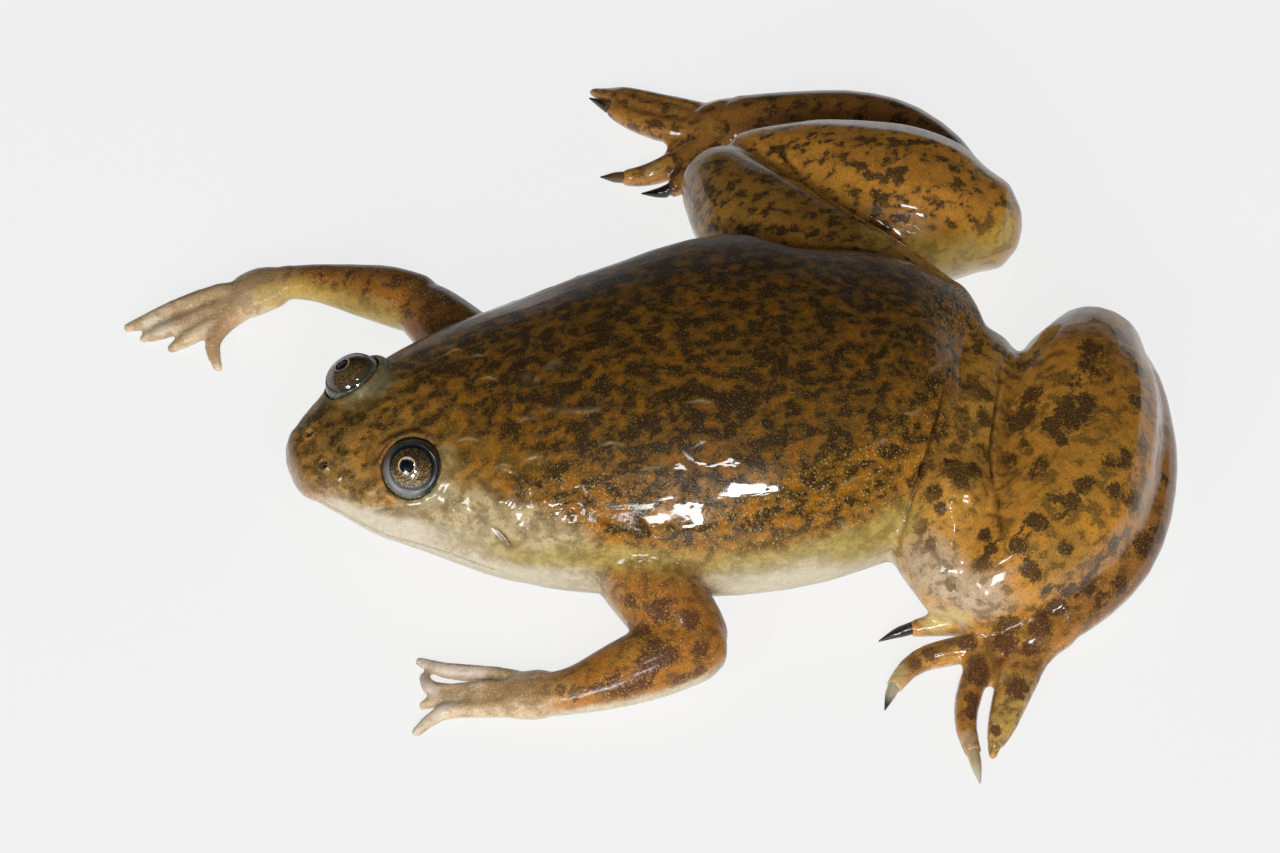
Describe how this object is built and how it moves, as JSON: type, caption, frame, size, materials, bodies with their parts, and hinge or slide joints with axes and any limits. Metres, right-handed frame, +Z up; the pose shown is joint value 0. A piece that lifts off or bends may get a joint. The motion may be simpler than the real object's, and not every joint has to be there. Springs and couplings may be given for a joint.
{
  "type": "african clawed frog",
  "caption": "Adult frog lying on its belly, with small lidless eyes on top of a flat head, folded heavy hind legs, webbed clawed feet and slender free fingers.",
  "frame": {"origin": "the floor under the middle of the belly, on the belly's resting flat", "axes": "-Y towards the snout along the back, +X towards the frog's left side, +Z up from the floor"},
  "size_m": [0.1132, 0.1081, 0.0248],
  "materials": {
    "skin": "wet glossy skin, ochre mottled with dark brown, pale along the belly edge",
    "digits": "pale tan, damp",
    "eye": "polished, clear cornea over a dark iris",
    "claw": "satin black horn"
  },
  "bodies": {
    "root": {"head": "skin", "torso": "skin", "eye_left": "eye", "eye_right": "eye", "upper_arm_left": "skin", "upper_arm_right": "skin", "forearm_left": "skin", "forearm_right": "skin", "hand_left": "digits", "hand_right": "digits", "thigh_left": "skin", "thigh_right": "skin", "shank_left": "skin", "shank_right": "skin", "tarsus_left": "skin", "tarsus_right": "skin", "foot_left": "skin", "foot_right": "skin", "claw_left_1": "claw", "claw_left_2": "claw", "claw_left_3": "claw", "claw_right_1": "claw", "claw_right_2": "claw", "claw_right_3": "claw"}
  },
  "joints": []
}
